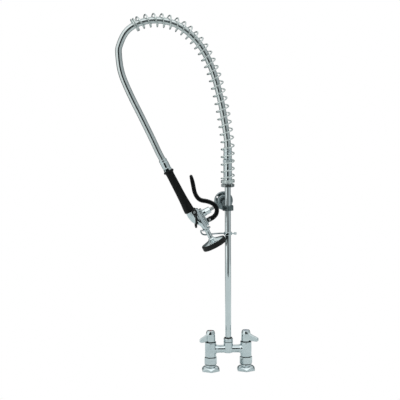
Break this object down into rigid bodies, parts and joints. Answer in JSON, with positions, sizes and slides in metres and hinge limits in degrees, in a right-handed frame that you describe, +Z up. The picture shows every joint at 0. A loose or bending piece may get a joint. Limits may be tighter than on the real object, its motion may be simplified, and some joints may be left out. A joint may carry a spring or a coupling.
{
  "type": "pre rinse faucet",
  "caption": "Deck mounted pre-rinse faucet: twin lever valves, tall riser with wall bracket, overhead spring hose and a squeeze spray valve hung on a finger hook.",
  "frame": {"origin": "deck plane, midway between the two inlet centres, on the riser's axis", "axes": "+Z up the riser, -Y towards the user, +Y towards the wall; the overhead hose arches over the -X side"},
  "size_m": [0.3953, 0.2216, 1.0167],
  "materials": {
    "chrome_body": "polished chrome plate over brass",
    "chrome_handle": "polished chrome plate over brass",
    "chrome_riser": "polished chrome plated tube",
    "chrome_bracket": "polished chrome plate",
    "dark_clamp": "dull dark plated casting",
    "spring_steel": "bright stainless spring wire",
    "hose_steel": "strip-wound stainless steel, fine ribs",
    "valve_chrome": "polished chrome plated casting",
    "small_steel": "machined stainless steel",
    "spray_face": "stamped stainless steel",
    "brass_internals": "machined brass",
    "black_grip": "moulded grip, fine lengthwise lines, satin",
    "black_bumper": "moulded rubber, satin",
    "black_coating": "dipped vinyl coating, soft gloss",
    "seal_rubber": "moulded seals",
    "index_hot": "moulded button",
    "index_cold": "moulded button"
  },
  "bodies": {
    "root": {"base_body": "chrome_body", "left_coupling_nut": "chrome_body", "right_coupling_nut": "chrome_body", "left_inlet_flange": "chrome_body", "right_inlet_flange": "chrome_body", "left_seat_washer": "seal_rubber", "right_seat_washer": "seal_rubber", "left_cartridge": "brass_internals", "right_cartridge": "brass_internals", "riser_packing": "seal_rubber", "riser_tube": "chrome_riser", "spring_seat_nut": "spring_steel", "spring_body": "chrome_body", "hose_washer": "seal_rubber", "hose_coupling_nut": "chrome_body", "wall_flange": "chrome_bracket", "bracket_rod": "chrome_bracket", "bracket_clamp": "dark_clamp", "clamp_screw": "dark_clamp"},
    "left_handle": {"left_lever_handle": "chrome_handle", "left_stem": "brass_internals", "left_handle_screw": "small_steel", "left_index_button": "index_hot"},
    "right_handle": {"right_lever_handle": "chrome_handle", "right_stem": "brass_internals", "right_handle_screw": "small_steel", "right_index_button": "index_cold"},
    "finger_hook": {"hook_collar": "chrome_body", "hook_wire": "chrome_body"},
    "thumb_screw": {"thumb_screw": "chrome_body"},
    "overhead": {"upper_ferrule": "chrome_body", "overhead_spring": "spring_steel", "hose_upper": "hose_steel", "hose_bend": "hose_steel"},
    "hand_valve": {"hose_lower": "hose_steel", "lower_ferrule": "chrome_body", "grip_nut": "chrome_body", "grip_tube": "brass_internals", "grip": "black_grip", "valve_body": "valve_chrome", "bonnet_plate": "valve_chrome", "bonnet_cap": "valve_chrome", "return_spring": "spring_steel", "trigger_pin": "small_steel", "ring_pin": "small_steel", "spray_neck": "valve_chrome", "spray_dish": "valve_chrome", "rubber_bumper": "black_bumper", "spray_plate": "spray_face", "face_screw": "small_steel"},
    "trigger": {"trigger": "black_coating"},
    "plunger": {"valve_plunger": "small_steel", "valve_seat_disc": "seal_rubber"},
    "hanging_ring": {"hanging_ring": "black_coating"}
  },
  "joints": [
    {"name": "left_handle_turn", "type": "hinge", "parent": "root", "child": "left_handle", "pos_m": [-0.0508, 0, 0.085], "axis": [0, 0, 1], "range_deg": [0, 90]},
    {"name": "right_handle_turn", "type": "hinge", "parent": "root", "child": "right_handle", "pos_m": [0.0508, 0, 0.085], "axis": [0, 0, -1], "range_deg": [0, 90]},
    {"name": "hook_turn", "type": "hinge", "parent": "root", "child": "finger_hook", "pos_m": [0, 0, 0.3978], "axis": [0, 0, -1], "range_deg": [0, 90]},
    {"name": "thumb_screw_turn", "type": "hinge", "parent": "finger_hook", "child": "thumb_screw", "pos_m": [0.02, 0, 0.3978], "axis": [1, 0, 0], "continuous": true},
    {"name": "hose_swing", "type": "hinge", "parent": "root", "child": "overhead", "pos_m": [0, 0, 0.6088], "axis": [0, 0, 1], "range_deg": [0, 150]},
    {"name": "hose_pull", "type": "hinge", "parent": "overhead", "child": "hand_valve", "pos_m": [-0.3019, -0.031, 0.905], "axis": [-1, 0, 0], "range_deg": [0, 30], "deforming": ["hose_bend"]},
    {"name": "trigger_squeeze", "type": "hinge", "parent": "hand_valve", "child": "trigger", "pos_m": [-0.05415, -0.034, 0.44467], "axis": [0, -1, 0], "range_deg": [0, 11.5], "stiffness_Nm_per_rad": 1.5, "springref_deg": -14.32},
    {"name": "plunger_travel", "type": "slide", "parent": "hand_valve", "child": "plunger", "axis": [-0.891, 0, -0.454], "range_m": [0, 0.0056], "deforming": ["return_spring"]},
    {"name": "ring_swing", "type": "hinge", "parent": "hand_valve", "child": "hanging_ring", "pos_m": [-0.09788, -0.034, 0.46773], "axis": [0, 1, 0], "range_deg": [-8, 100]}
  ],
  "couplings": [
    {"joint": "plunger_travel", "follows": "trigger_squeeze", "m_per_rad": 0.0273}
  ]
}
